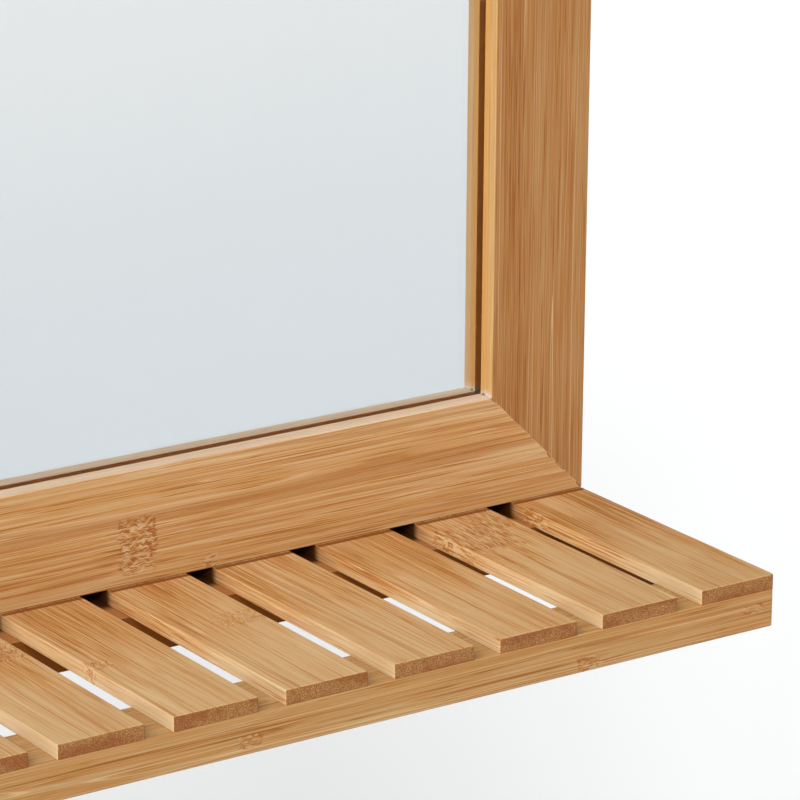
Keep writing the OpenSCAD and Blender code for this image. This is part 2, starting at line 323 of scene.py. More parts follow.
@dataclass(frozen=True)
class Bamboo:
    """Laminated bamboo under a satin lacquer, worked out from millimetres on the piece.

    The culm's fibres are noise that is stretched along the grain, so the same pattern is streaks on
    the sides of a board and dots on its ends. A board is glued from strips, and each strip has its
    own tone and its own place along the grain.

    Attributes:
        strip, strip_start, ply: width of a strip, where strips begin, and thickness of a ply.
        tone: how much darker than usual it is; contrast to lines are the strengths of its layers.
        drift, short, narrow: how far the fibres wander, and how much finer than usual they are.
        side_light, edge_wear_and_highlight: how pale painted light makes the long sides, and how pale the
            edges are, partly wear and partly painted highlight.
        gloss, shine: roughness and specular level of the lacquer.
        frame_shade_span: the two places in Y between which painted shade darkens the board beside the
            frame.
        open_top: 1 where the top stays out of that painted shade, but for a thin painted contact shadow
            along the frame.
        painted_front_light: whether painted light makes the top lighter and plainer away from the frame.
        lip_glow: how strongly the lip's side glows beside the glass.
        mitre_half, mitre_middle, member: half the frame's size, its middle, and a member's width.
        body: tint of the four tones, which are pale, straw, honey and umber.
        gloom, dusk: colours of the inner sides and of the top in the shelf's own shade.
    """

    name: str
    grain: Grain
    seed: float = 0.0
    strip: float = 19.0
    strip_start: float = 0.0
    ply: float = 30.0
    tone: float = 0.0
    contrast: float = 1.0
    bands: float = 1.0
    patches: float = 0.3
    grooves: float = 1.0
    crisp: float = 1.0
    hues: float = 1.0
    lines: float = 1.0
    drift: float = 0.9
    short: float = 1.0
    narrow: float = 1.12
    side_light: float = 0.3
    edge_wear_and_highlight: float = 0.5
    gloss: float = 0.42
    shine: float = 0.10
    marks: tuple[CulmNode, ...] = ()
    frame_shade_span: tuple[float, float] | None = None
    open_top: float = 1.0
    painted_front_light: bool = False
    lip_glow: float = 0.0
    mitre_half: tuple[float, float] | None = None
    mitre_middle: float = 0.0
    member: float = 38.0
    body: Colour = (1.0, 1.0, 1.0)
    pale: Colour = (0.540, 0.315, 0.138)
    straw: Colour = (0.490, 0.240, 0.083)
    honey: Colour = (0.450, 0.182, 0.044)
    umber: Colour = (0.310, 0.105, 0.024)
    russet: Colour = (0.430, 0.165, 0.045)
    rosy: Colour = (0.560, 0.305, 0.150)
    burn: Colour = (0.330, 0.098, 0.027)
    amber: Colour = (0.600, 0.270, 0.055)
    # side is the colour of the painted light on long sides and edges.
    side: Colour = (0.680, 0.440, 0.210)
    end_wood: Colour = (0.240, 0.096, 0.027)
    end_dark: Colour = (0.215, 0.070, 0.019)
    end_fibre: Colour = (0.540, 0.330, 0.155)
    dust: Colour = (0.660, 0.470, 0.270)
    lint: Colour = (0.600, 0.510, 0.400)
    sealer: Colour = (1.000, 0.285, 0.042)
    tar: Colour = (0.085, 0.030, 0.008)
    # char and stain are colours of painted shade: the darkest under the frame, and brown where it fades.
    char: Colour = (0.040, 0.012, 0.002)
    painted_brown_shade: Colour = (0.230, 0.070, 0.014)
    gloom: Colour | None = None
    dusk: Colour = (0.360, 0.153, 0.051)

    def material(self) -> bpy.types.Material:
        """Builds the material."""
        return Board(self).finished()


class Board(ShaderTree):
    """The nodes of a bamboo finish, worked out for a point on the surface of a board.

    x, y and z are its place, back and up say how far the surface faces +Y and +Z, and along, across
    and depth follow the grain. Row is across with the wander of the fibres, and grid is along, row
    and depth as a vector, with each strip at its own place along the culm. End, side and edge are 1
    on cut ends, on long sides and where a side turns into a face. Shade is 0 for pale and 1 for dark.
    """

    def __init__(self, wood: Bamboo) -> None:
        """Finds the point's place and which way the surface faces there."""
        super().__init__(bpy.data.materials.new(wood.name))
        self.wood = wood
        self.x, self.y, self.z = place = self.split(self.place())
        facing = self.split(self.add("ShaderNodeNewGeometry", output=1))
        self.back, self.up = facing[1:]
        self.along, self.across, self.depth = (place[axis] for axis in wood.grain.value)
        straight = self.vector(self.along, self.across, self.depth)
        wander = replace(WANDER, shift=wood.seed).on(straight)
        self.row = self.across + (wander - 0.5) * (2 * wood.drift)
        lane = (self.row + wood.strip_start) // wood.strip
        pair = {"Vector": self.vector(lane + wood.seed, self.depth // wood.ply + 3.0, 0.0)}
        chance = self.add("ShaderNodeTexWhiteNoise", {"noise_dimensions": "2D"}, pair)
        self.grid = self.vector(self.along + chance * 900.0 + 60.0 * wood.seed, self.row, self.depth)
        self.end = abs(facing[wood.grain.value[0]]).ease(0.55, 0.8)
        sideways = abs(facing[wood.grain.value[1]])
        self.side = sideways.ease(0.6, 0.9)
        self.edge = sideways.ease(0.12, 0.40) * (1.0 - self.side)
        if wood.frame_shade_span:
            # Painted light: beside the frame neither the sides nor their edges catch it.
            self.side = self.side * (0.10 + self.y.ease(-42.0, -108.0) * 0.95)
            self.edge = self.edge * self.y.ease(-20.0, -56.0)
        self.bundles, hairs = self._fine(BUNDLES), self._fine(HAIRS)
        self.relief = self.bundles * 0.5 + hairs * 0.5
        self.shade = self._shade(hairs, chance)

    def finished(self) -> bpy.types.Material:
        """Builds the material from the shade, the marks, the colours and the sheen.

        Returns:
            The material, ready for a piece whose mesh is in place.
        """
        wood, burnt = self.wood, 0.0
        for mark in wood.marks:
            burnt = self._culm_node(mark) | burnt
        colour = self._colour(burnt)
        if wood.mitre_half:
            colour = self._mitre(colour)
        colour, dull = self._darken(colour)
        sheen = wood.gloss + (self.bundles - 0.5) * 0.22 + self.end * 0.25
        uniform = {"Specular_IOR_Level": wood.shine, "IOR": 1.5}
        return self.surface(colour, sheen, self.relief, depth=0.035, dull=dull, **uniform)

    def _fine(self, streaks: Streaks) -> Signal:
        """A layer of streaks that are as fine as this wood's fibres."""
        return streaks.on(self.grid, self.wood.short, self.wood.narrow)

    def _shade(self, hairs: Signal, chance: Signal) -> Signal:
        """Adds up the layers of the grain.

        Args:
            hairs: the finer fibres.
            chance: a number from 0 to 1 for the strip.

        Returns:
            The shade without the node marks.
        """
        wood, grid, groove, fine = self.wood, self.grid, self._fine(GROOVES), self._fine(FINE_LINES)
        grooved = groove.ease(0.59, 0.68) * 0.34 - groove.ease(0.41, 0.32) * 0.26
        grooved = grooved + FLECKS.on(grid).ease(0.66, 0.76) * 0.22
        ends = LINE_ENDS.on(grid, wood.short)
        crisp = fine.near(0.57, 0.075, 0.02) * ends.ease(0.42, 0.60) * 0.55
        crisp = crisp - fine.near(0.43, 0.065, 0.02) * ends.ease(0.60, 0.44) * 0.42
        shade = (
            MAIN_SHADE
            + wood.tone
            + (BANDS.on(grid) - 0.5) * (0.80 * wood.bands)
            + (PATCHES.on(grid) - 0.5) * (0.70 * wood.patches)
            + (self.bundles - 0.5) * (1.45 * wood.contrast)
            + (hairs - 0.5) * (1.35 * wood.contrast)
            + (chance - 0.5) * 0.20
            + grooved * wood.grooves
            + crisp * wood.crisp
        )
        if wood.painted_front_light:
            # Painted light: the top is darker beside the frame and lighter toward the front.
            front = self.y.ease(-40.0, -88.0)
            change = 0.12 - front * (0.38 + (shade - MAIN_SHADE) * 0.35)
            shade = shade + change * self.up.ease(0.6, 0.9)
        # Painted light: the long sides are lighter.
        return shade - self.side * (0.42 * wood.side_light)

    def _culm_node(self, mark: CulmNode) -> Signal:
        """Adds one node mark: a block of crinkled light and dark strokes, with dashes beyond.

        With u and v the distances from the mark's middle in half lengths and half widths, the mark
        fills |u| < 1 and |v| < 1 with a ragged edge, and the dashes reach to |u| = 3. It changes the
        shade and the relief.

        Args:
            mark: the node to draw.

        Returns:
            Mask of the mark's burnt spots.
        """
        along, row, depth, s, stretch = self.along, self.row, self.depth, mark.strength, mark.stretch
        straight = self.vector(along, row, depth)
        ragged = RAGGED.on(straight) - 0.5
        u = abs((along - mark.along) / mark.half_length + ragged * 0.7)
        v = abs((row - mark.across) / mark.half_width + ragged * 0.30)
        inside = v.ease(1.0, 0.8)
        core = u.ease(1.12, 0.88) * inside
        crinkle = self.noise(self.vector(along * 0.34, row * 0.22, 7.0), 1.0) - 0.5
        line = row + crinkle * (3.2 / stretch)
        strokes = self.noise(self.vector(along * (0.36 / stretch), line * 2.1, depth), 1.0)
        spots = self.vector(along * (0.34 / stretch), line * 0.75, depth * 0.5 + 9.0)
        patches = self.noise(spots, 1.0).ease(0.58, 0.64)
        dark = strokes.ease(0.51, 0.57) * 0.75 | patches * (0.95 / stretch)
        light = strokes.ease(0.48, 0.41)
        halo = u.ease(3.4, 1.1) * inside * (1.0 - core)
        dashed = (DASHES.on(straight).ease(0.55, 0.66) * 0.42 - 0.10) * halo
        marked = self.shade * (1.0 - core * (0.65 * s)) + core * (0.26 * s) + core * dark * (0.85 * s)
        self.shade = marked - core * light * (0.60 * s) + dashed * s
        self.relief = self.relief + core * (light - dark) * (0.9 * s)
        return core * (patches * 0.62 | strokes.ease(0.56, 0.62) * 0.40) * (s / stretch**1.5)

    def _colour(self, burnt: Number) -> Signal:
        """Colours the board: its shade, tints, burnt spots, threads, seams, the painted light on its sides
        and edges, and its ends.

        Args:
            burnt: mask of the burnt spots in the node marks.

        Returns:
            The colour of the wood.
        """
        wood, blend, warm, thread = self.wood, self.blend, self._fine(WARMTH), THREADS.on(self.grid)
        tones = zip((0.06, MAIN_SHADE, 0.76, 1.0), (wood.pale, wood.straw, wood.honey, wood.umber))
        stops = [(at, tuple(c * b for c, b in zip(colour, wood.body))) for at, colour in tones]
        colour = self.add("ShaderNodeValToRGB", {"stops": stops}, {0: self.shade})
        colour = blend(warm.ease(0.52, 0.72) * (0.50 * wood.hues), colour, wood.russet)
        colour = blend(warm.ease(0.46, 0.30) * (0.45 * wood.hues), colour, wood.rosy)
        if wood.marks:
            colour = blend(burnt, colour, wood.burn)
        colour = blend(thread.near(0.5, 0.026, 0.008) * (0.375 * wood.lines), colour, wood.umber)
        colour = blend(thread.near(0.44, 0.012, 0.003) * (0.38 * wood.lines), colour, wood.dust)
        seams = self._seam(self.row + wood.strip_start, wood.strip, 0.34)
        seams = seams | self._seam(self.depth, wood.ply, 0.30)
        colour = blend(seams * (0.30 * wood.lines), colour, wood.umber)
        # Painted light on the long sides, and on the edges a pale line that is partly wear and partly
        # painted highlight.
        painted_light_and_wear = self.side * (0.55 * wood.side_light) | self.edge * (0.45 * wood.edge_wear_and_highlight)
        colour = blend(painted_light_and_wear * (0.75 - (self.shade - 0.3) * 0.8), colour, wood.side)
        return blend(self.end, colour, self._end_grain())

    @staticmethod
    def _seam(place: Signal, pitch: float, width: float) -> Signal:
        """Mask of the faint joints of a width at every multiple of a pitch."""
        phase = place / pitch - place // pitch
        return (abs(phase - 0.5) * (2 * pitch)).ease(pitch - width, pitch - 0.06)

    def _end_grain(self) -> Signal:
        """Colours a cut end: pale fibre bundles of about half a millimetre in darker ground tissue.

        Returns:
            The colour of the end.
        """
        along, across, depth, wood = self.along, self.across, self.depth, self.wood
        where = self.vector(across * 2.9, depth * 2.9, along * 0.05)
        cells = self.add("ShaderNodeTexVoronoi", {"feature": "F1"}, {"Vector": where, "Scale": 1.0})
        cloud = self.noise(self.vector(across * 0.22, depth * 0.22, along * 0.02))
        sheath = self.noise(self.vector(across * 0.05, depth * 0.16 + 0.6, along * 0.01), 0.0)
        dense = (cloud * 0.4 + sheath * 0.6).ease(0.42, 0.58)
        ground = self.blend(dense, wood.end_wood, wood.end_dark)
        return self.blend(cells.ease(0.46, 0.20) * (0.68 - dense * 0.34), ground, wood.end_fibre)

    def _mitre(self, colour: Signal) -> Signal:
        """Colours a member's narrow faces and draws its joints with its neighbours at 45 degrees.

        The distance from the mitre plane is |(W - |x|) - (H - |z - m|)| / sqrt 2, with W and H half
        the frame's width and height and m its middle, so one formula serves all four corners. The
        joint is a hair line of pale dust, which stands open and dark for short runs. Behind the lip
        the wood is raw and sealed, and lint lies in the corner of the opening. The lip's side glows
        beside the glass, and what faces down is honey.

        Args:
            colour: the board's colour so far.

        Returns:
            The colour with all that in it.
        """
        wood, blend, y, along = self.wood, self.blend, self.y, self.along
        glow = y.ease(FACE + 1.5, FACE + 6.0) * y.ease(LIP_BACK + 0.4, LIP_BACK + 0.1)
        glow = glow * abs(self.x).ease(HALF_WIDTH - 20.0, HALF_WIDTH - 22.0) * (self.side * wood.lip_glow)
        colour = blend(glow, colour, wood.amber)
        # Painted light: faces that look down are set to honey, a tone given for how they are lit.
        colour = blend(self.up.ease(-0.04, -0.30), colour, wood.honey)

        from_side = wood.mitre_half[0] - abs(self.x)
        from_end = wood.mitre_half[1] - abs(self.z - wood.mitre_middle)
        beside = (from_side - from_end) * math.sqrt(0.5)
        gap, lip = abs(beside), y.ease(FACE + 0.1, FACE + 0.6)
        behind = y.ease(LIP_BACK - 0.02, LIP_BACK) * from_side.ease(20.0, 20.5) * from_end.ease(20.0, 20.5)
        colour = blend(behind, colour, wood.sealer)
        corner = (abs(from_side - wood.member) | abs(from_end - wood.member)).ease(3.4, 0.6)
        specks = self.noise(self.vector(from_side * 1.3, y * 1.3, from_end * 1.3), 2.0, 0.6)
        colour = blend(corner * lip * specks.ease(0.36, 0.60) * 0.75, colour, wood.lint)
        runs = self.noise(self.vector(along * 0.35, along * 0.07, 4.0), 1.0)
        line = (gap - lip * 0.35).ease(0.36, 0.14)
        colour = blend(line * runs.ease(0.40, 0.70) * 0.42 * (1.0 - lip), colour, wood.dust)
        in_lip = line * lip * y.ease(LIP_BACK + 0.2, LIP_BACK - 0.2)
        colour = blend(in_lip * 0.85, colour, wood.lint)
        outer = from_side.ease(2.9, 2.3) | from_side.near(9.7, 2.1, 1.6) * 0.6
        inner = from_side.near(14.2, 1.0, 0.6) | from_side.ease(wood.member - 1.8, wood.member - 1.1) * 0.7
        dark = beside.near(0.16, 0.34, 0.10) * (outer | inner) * (1.0 - lip * 0.6)
        fleck = gap.ease(0.7, 0.3) * y.near(LIP_BACK - 1.6, 1.1, 0.5)
        return blend(dark * 0.85 | fleck * 0.7, colour, wood.tar)

    def _darken(self, colour: Signal) -> tuple[Signal, tuple[Signal, Signal] | None]:
        """Paints shade beside the frame and inside the shelf, but on none of its outer faces.

        Args:
            colour: the board's colour so far.

        Returns:
            The darker colour, and the mask and colour of what has no sheen, if there is any.
        """
        wood, blend, y, up, dull = self.wood, self.blend, self.y, self.up, None
        outside = abs(self.x).ease(HALF_WIDTH - 1.4, HALF_WIDTH - 0.8) | self.back.ease(0.3, 0.7)
        if wood.frame_shade_span:
            start, full = wood.frame_shade_span
            top = up.ease(0.6, 0.9) * wood.open_top
            below = 1.0 - (top | outside)
            # Painted shade beside the frame: brown and streaky where it begins, then nearly dark and
            # without sheen under the frame.
            brown_shade_mask = y.ease(start - 8.0, full) * below * (0.45 + (self.bundles - 0.5) * 2.4)
            colour = blend(brown_shade_mask, colour, wood.painted_brown_shade)
            # A painted contact shadow on the top, just in front of the frame's face.
            contact = y.near(FACE - 1.35, 1.45, 0.70) * top
            black = y.ease(start, full) * below * 0.97
            dull = (black | contact * 0.92, blend(contact * 0.80, wood.char, wood.painted_brown_shade))
        if wood.gloom:
            # Painted shade on the rails' inner faces: very dark on the sides and brown on the tops.
            inside = (1.0 - outside) * up.ease(-0.7, -0.3)
            dim = blend(up.ease(0.3, 0.7) * (0.75 + self.bundles * 0.4), wood.gloom, wood.dusk)
            colour = blend(inside * 0.97, colour, dim)
        return colour, dull


# ---- other finishes


@dataclass(frozen=True)
class ClearGlass:
    """Float glass: smooth, with the faint green of its iron."""

    name: str = "clear_float_glass"
    tint: Colour = (0.985, 0.995, 0.990)
    ior: float = 1.52

    def material(self) -> bpy.types.Material:
        """Builds the material: a clear dielectric with hardly any waviness in its polish."""
        tree = ShaderTree(bpy.data.materials.new(self.name))
        polish = tree.noise(tree.place(9.0)).ease(0.55, 0.9) * 0.004
        return tree.surface(self.tint, polish, Transmission_Weight=1.0, IOR=self.ior)


@dataclass(frozen=True)
class Silvering:
    """The silver coat behind the glass, slightly cold, with a bump that makes the pane look bowed toward
    its bottom edge.

    Bow is the depth of that bump, over bow_length from the height bow_from downwards.
    """

    name: str = "mirror_silver"
    tint: Colour = (0.775, 0.782, 0.785)
    bow: float = 0.9
    bow_from: float = -434.0
    bow_length: float = 150.0

    def material(self) -> bpy.types.Material:
        """Builds the material: bright metal whose relief is bow * q^2, with q from 0 to 1."""
        tree = ShaderTree(bpy.data.materials.new(self.name))
        cloud = tree.noise(tree.place(3.0))
        deeper = tuple(0.985 * c for c in self.tint)
        tint = tree.blend(cloud.ease(0.3, 0.7), self.tint, deeper)
        height = tree.split(tree.place())[2]
        q = (self.bow_from - height) / self.bow_length | 0.0
        return tree.surface(tint, 0.0, q * q, depth=self.bow, Metallic=1.0)


@dataclass(frozen=True)
class Hardboard:
    """Pressed fibre board: brown, with short pale and dark fibres lying every way."""

    name: str = "brown_hardboard"
    dark: Colour = (0.090, 0.045, 0.022)
    mid: Colour = (0.165, 0.088, 0.045)
    pale: Colour = (0.290, 0.180, 0.105)

    def material(self) -> bpy.types.Material:
        """Builds the material from two felts of fibres that are crossed, and a soft mottle."""
        tree = ShaderTree(bpy.data.materials.new(self.name))
        x, y, z = tree.split(tree.place())
        swirl = (tree.noise(tree.place(0.05 / MM)) - 0.5) * 9.0
        felt = tree.noise(tree.vector((x + swirl) * 0.22, y, (z - swirl) * 1.9), 2.0, 0.6, 0.6)
        cross = tree.noise(tree.vector((x - swirl) * 1.8, y, (z + swirl) * 0.25), 2.0, 0.6, 0.6)
        mottle = tree.noise(tree.place(0.03 / MM), 3.0)
        shade = 0.5 + (felt - 0.5) * 1.1 + (cross - 0.5) * 1.1 + (mottle - 0.5) * 0.8
        stops = [(0.0, self.dark), (0.5, self.mid), (1.0, self.pale)]
        colour = tree.add("ShaderNodeValToRGB", {"stops": stops}, {0: shade})
        return tree.surface(colour, 0.55 + (felt - 0.5) * 0.3, felt + cross, depth=0.05)


@dataclass(frozen=True)
class PlatedSteel:
    """Bright zinc on pressed or turned steel. Grain is how strongly it is scratched."""

    name: str
    bright: Colour = (0.640, 0.650, 0.665)
    dull: Colour = (0.440, 0.450, 0.470)
    rough: float = 0.32
    grain: float = 1.0

    def material(self) -> bpy.types.Material:
        """Builds the material: cloudy zinc with fine rubbed scratches."""
        tree = ShaderTree(bpy.data.materials.new(self.name))
        x, y, z = tree.split(tree.place())
        cloud = tree.noise(tree.place(0.35 / MM), 3.0, 0.6)
        rubbed = tree.noise(tree.vector(x * 4.5, y * 4.5, z * 0.35), 2.0, 0.6)
        colour = tree.blend(cloud.ease(0.35, 0.68), self.bright, self.dull)
        rough = self.rough + (cloud - 0.5) * 0.3 + (rubbed - 0.5) * (0.25 * self.grain)
        return tree.surface(colour, rough, rubbed, depth=0.012 * self.grain, Metallic=1.0)


@dataclass(frozen=True)
class PaperFloor:
    """The studio's plain pale floor, greyer from 1.3 to 3.2 m in front of the wall by painted shade."""

    name: str = "pale_floor"
    colour: Colour = (0.985, 0.990, 0.995)
    greyer: Colour = (0.824, 0.867, 0.892)

    def material(self) -> bpy.types.Material:
        """Builds the material: matt paper with a faint tooth and a soft change of tone."""
        tree = ShaderTree(bpy.data.materials.new(self.name))
        y = tree.split(tree.place())[1]
        # Painted shade: a greyer band in front of the wall, which the mirror reflects.
        grey = y.ease(-3200.0, -1500.0) - y.ease(-1300.0, -300.0)
        tooth = tree.noise(tree.place(60.0))
        softer = tuple(c * s for c, s in zip(self.colour, self.greyer))
        return tree.surface(tree.blend(grey + tooth * 0.03, self.colour, softer), 0.9)


# ---- surfaces


@dataclass
class Surface:
    """A mesh as arrays: points in millimetres, and faces as rows of point numbers."""

    points: np.ndarray
    faces: list[np.ndarray]

    def piece(
        self, name: str, material: bpy.types.Material, flat_from: int | None = None
    ) -> bpy.types.Object:
        """Makes the Blender object.

        Args:
            name: name of the piece.
            material: its finish.
            flat_from: number of the first face that stays flat shaded, if any does.

        Returns:
            The object, at the origin, with its place in its mesh.
        """
        mesh = bpy.data.meshes.new(name)
        rows = [row.tolist() for block in self.faces for row in block]
        mesh.from_pydata((self.points * MM).tolist(), [], rows)
        smooth = np.arange(len(rows)) < (len(rows) if flat_from is None else flat_from)
        mesh.polygons.foreach_set("use_smooth", smooth)
        mesh.materials.append(material)
        mesh.update()
        thing = bpy.data.objects.new(name, mesh)
        bpy.context.scene.collection.objects.link(thing)
        LOG.info("%s: %d points, %d faces", name, len(self.points), len(rows))
        return thing


def stand_in(piece: bpy.types.Object, node: str) -> None:
    """Lets a piece ride on the mirror's root body and stand for a CAD node, which it hides."""
    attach(piece, "root")
    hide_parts(node)


def node_box(node: str) -> tuple[np.ndarray, np.ndarray]:
    """The corners of a CAD node in millimetres."""
    low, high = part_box(node)
    return np.array(low) / MM, np.array(high) / MM


def dress(node: str, material: bpy.types.Material) -> None:
    """Gives a CAD node that stays in view its finish."""
    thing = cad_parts[node]
    thing.data.materials.clear()
    thing.data.materials.append(material)
    LOG.info("%s: CAD solid in %s", node, material.name)


def tube_faces(rings: int, around: int) -> np.ndarray:
    """Quads of a tube whose rings of points follow each other in one array.

    Args:
        rings: number of rings.
        around: number of points in a ring.

    Returns:
        One row of four point numbers for each quad, facing outwards where the rings run forwards
        and their points turn anticlockwise as seen from the last ring.
    """
    ring, step = np.meshgrid(np.arange(rings - 1), np.arange(around), indexing="ij")
    here = ring * around + step
    beside = ring * around + (step + 1) % around
    return np.stack([here, beside, beside + around, here + around], axis=-1).reshape(-1, 4)


def closed_form(x: np.ndarray, y: np.ndarray, z: np.ndarray) -> tuple[Surface, int]:
    """Closes a form of rings that follow each other along +Y: the sides, the front and the back.

    Args:
        x: one row for each ring, anticlockwise as seen from the front.
        y: one number for each ring.
        z: one row for each ring.

    Returns:
        The surface, and the number of its first end face.
    """
    rings, around = x.shape
    points = np.stack([x, np.broadcast_to(y[:, None], x.shape), z], axis=-1).reshape(-1, 3)
    sides, front = tube_faces(rings, around)[:, ::-1], np.arange(around)[None, :]
    return Surface(points, [sides, front, front[:, ::-1] + (rings - 1) * around]), len(sides)


def arc_inset(radius: float, distance: np.ndarray) -> np.ndarray:
    """How far a rounded corner stands back at a distance from its end: r - sqrt(r^2 - (r - d)^2)."""
    short = np.clip(radius - distance, 0.0, radius)
    return radius - np.sqrt(np.maximum(radius**2 - short**2, 0.0))


@dataclass
class Slat:
    """One slat: a thin board with sanded edges, which runs from the wall to the front of the shelf.

    The surface is a rounded rectangle carried from the front end to the back. At a distance d from
    the front its left, right and upper sides stand back by arc_inset of the corner there, and the
    radius of its upper long edges swells and shrinks a little, as it does under a sanding block.
    """

    number: int
    low: np.ndarray
    high: np.ndarray
    corner_left: float
    corner_right: float
    long_edge: float = 0.45
    end_edge: float = 0.5
    under_edge: float = 0.25
    sanding: float = 0.14
    least_edge: float = 0.3
    flank: float = 0.4
    arc_points: int = 9

    def surface(self) -> tuple[Surface, int]:
        """Works out the mesh.

        Each corner is a quarter turn of x + r cos a and z + r sin a, with one more point a flank's
        length before it and one after it, which keep the shading of the flat sides flat.

        Returns:
            The surface, and the number of its first end face.
        """
        length = self.high[1] - self.low[1]
        near_front, near_back = np.geomspace(0.02, 2.2, 14), length - np.geomspace(0.6, 0.004, 6)
        d = np.concatenate([[0.0], near_front, np.linspace(4.0, length - 2.0, 40), near_back, [length]])
        back = arc_inset(self.under_edge, length - d)
        left, right, top, under = (
            np.maximum(arc_inset(radius, d), back)
            for radius in (self.corner_left, self.corner_right, self.end_edge, self.under_edge)
        )
        x0, x1 = self.low[0] + left, self.high[0] - right
        z0, z1 = self.low[2] + under, self.high[2] - top

        phase = 1.7 * self.number
        swell = np.sin(d * 0.071 + phase) + 0.6 * np.sin(d * 0.23 + 2.1 * phase)
        upper = self.long_edge * (1.0 + self.sanding * swell / 1.6)
        upper = np.clip(upper, self.least_edge, (z1 - z0) * 0.45)
        lower = np.full_like(d, self.under_edge)

        # Corners anticlockwise from below right, as seen from the front.
        quarter = math.pi / 2
        turn = np.concatenate([[0.0], np.linspace(0.0, quarter, self.arc_points), [quarter]])
        slide = self.flank * np.concatenate([[-1.0], np.zeros(self.arc_points), [1.0]])
        columns_x, columns_z = [], []
        for start, radius, at_x, at_z in (
            (-quarter, lower, x1 - lower, z0 + lower),
            (0.0, upper, x1 - upper, z1 - upper),
            (quarter, upper, x0 + upper, z1 - upper),
            (2 * quarter, lower, x0 + lower, z0 + lower),
        ):
            cos, sin = np.cos(turn + start), np.sin(turn + start)
            columns_x.append(at_x[:, None] + radius[:, None] * cos - slide * sin)
            columns_z.append(at_z[:, None] + radius[:, None] * sin + slide * cos)
        x, z = np.concatenate(columns_x, axis=1), np.concatenate(columns_z, axis=1)
        return closed_form(x, self.low[1] + d, z)


class Head(Enum):
    """The two kinds of screw head on the mirror."""

    SUNK = "countersunk"
    PAN = "pan"


@dataclass(frozen=True)
class Screw:
    """A wood screw with a cross recess and a cut thread, from its head along +Z.

    It is a profile turned about its axis on a grid of ring i and angle a. On the head's face the
    rings sink by depth * arm * end, where arm eases to 0 at the sides of the recess's two crossed
    arms, and end falls to 0 along them. On the shank the radius is core + (r - core) * tooth(z /
    pitch - a / turn), where tooth is a triangle wave, so the crest climbs by one pitch in each turn.
    """

    head: Head
    length: float
    shank_r: float = 1.5
    head_r: float = 2.8
    head_h: float = 1.4
    pitch: float = 1.35
    around: int = 32

    def surface(self) -> Surface:
        """Works out the mesh of one screw, with the middle of its seat at the origin.

        Returns:
            The surface.
        """
        step = np.arange(self.around)
        spread = step / self.around * 2 * math.pi
        angle = spread - 0.17 * np.sin(4 * spread)
        radius, height, recess, thread = self._profile()
        grow = radius[:, None] * np.ones(self.around)
        near, far = np.sort(np.abs([grow * np.cos(angle), grow * np.sin(angle)]), axis=0)
        arm = np.clip((0.22 * self.head_r - near) / (0.12 * self.head_r), 0.0, 1.0)
        end = np.clip((1.0 - far / (0.62 * self.head_r)) / 0.55, 0.0, 1.0)
        z = height[:, None] + recess[:, None] * (arm * arm * (3 - 2 * arm) * end)
        wave = np.mod(z / self.pitch - angle / (2 * math.pi), 1.0)
        tooth = np.clip(1.0 - np.abs(wave - 0.5) * 3.6, 0.0, 1.0)
        core = 0.68 * self.shank_r
        threaded = np.minimum(grow, core + (self.shank_r - core) * tooth)
        grow = np.where(thread[:, None], threaded, grow)
        points = np.stack([grow * np.cos(angle), grow * np.sin(angle), z], axis=-1).reshape(-1, 3)
        poles = np.array([[0.0, 0.0, height[0] + recess[0]], [0.0, 0.0, self.length]])
        beside, top, last = (step + 1) % self.around, len(points), len(points) - self.around
        fan_top = np.stack([np.full_like(step, top), beside, step], axis=-1)
        fan_tip = np.stack([np.full_like(step, top + 1), step + last, beside + last], axis=-1)
        tube = tube_faces(len(radius), self.around)
        return Surface(np.concatenate([points, poles]), [tube, fan_top, fan_tip])

    def _profile(self) -> tuple[np.ndarray, np.ndarray, np.ndarray, np.ndarray]:
        """Works out the profile of the screw from the head to the tip.

        Returns:
            Radius, height and depth of recess of every ring, and whether it is threaded.
        """
        share = np.linspace(0.08, 1.0, 11)
        if self.head is Head.SUNK:
            face_r, face_z = share * (self.head_r - 0.12), np.zeros_like(share)
            side_r = np.array([self.head_r - 0.03, self.head_r, self.shank_r])
            side_z = np.array([0.03, 0.12, self.head_h])
        else:
            face_r = share * (self.head_r - self.head_h / 3)
            face_z = -self.head_h + 0.16 * self.head_h * share**2
            side_r = np.array([self.head_r - 0.12, self.head_r, self.head_r, self.shank_r])
            side_z = np.array([-0.62, -0.42, 0.0, 0.0]) * self.head_h
        neck, point = side_z[-1] + 0.4, 1.2 * self.shank_r
        turns = max(4, int((self.length - neck - point) / self.pitch * 6))
        shank_z = np.linspace(neck, self.length - point, turns)
        point_z = np.linspace(self.length - point, self.length - 0.12, 6)[1:]
        point_r = self.shank_r * (self.length - point_z) / point
        radius = np.concatenate([face_r, side_r, np.full(turns, self.shank_r), point_r])
        height = np.concatenate([face_z, side_z, shank_z, point_z])
        ring = np.arange(len(radius))
        recess = np.where(ring < len(face_r), 0.78 * self.head_h, 0.0)
        return radius, height, recess, ring >= len(face_r) + len(side_r)

    def drive(self, name: str, node: str, seats: np.ndarray, toward: Matrix) -> None:
        """Puts the screw into every seat, as one piece.

        Args:
            name: name of the piece.
            node: the CAD node of the screws.
            seats: one row of millimetres for each screw.
            toward: the turn that takes +Z to the way the screws point.
        """
        one = self.surface()
        turned = one.points @ np.array(toward.to_3x3(), dtype=float).T
        points = (seats[:, None, :] + turned[None, :, :]).reshape(-1, 3)
        shift = (np.arange(len(seats)) * len(one.points))[:, None, None]
        faces = [(block[None] + shift).reshape(-1, block.shape[1]) for block in one.faces]
        steel = bpy.data.materials.get(SCREW_STEEL.name) or SCREW_STEEL.material()
        stand_in(Surface(points, faces).piece(name, steel), node)


SCREW_STEEL = PlatedSteel("zinc_screws", rough=0.28, grain=0.5)
FORWARDS = Matrix.Rotation(math.radians(90), 4, "X")
UPWARDS = Matrix.Identity(4)


# ---- sub-assemblies


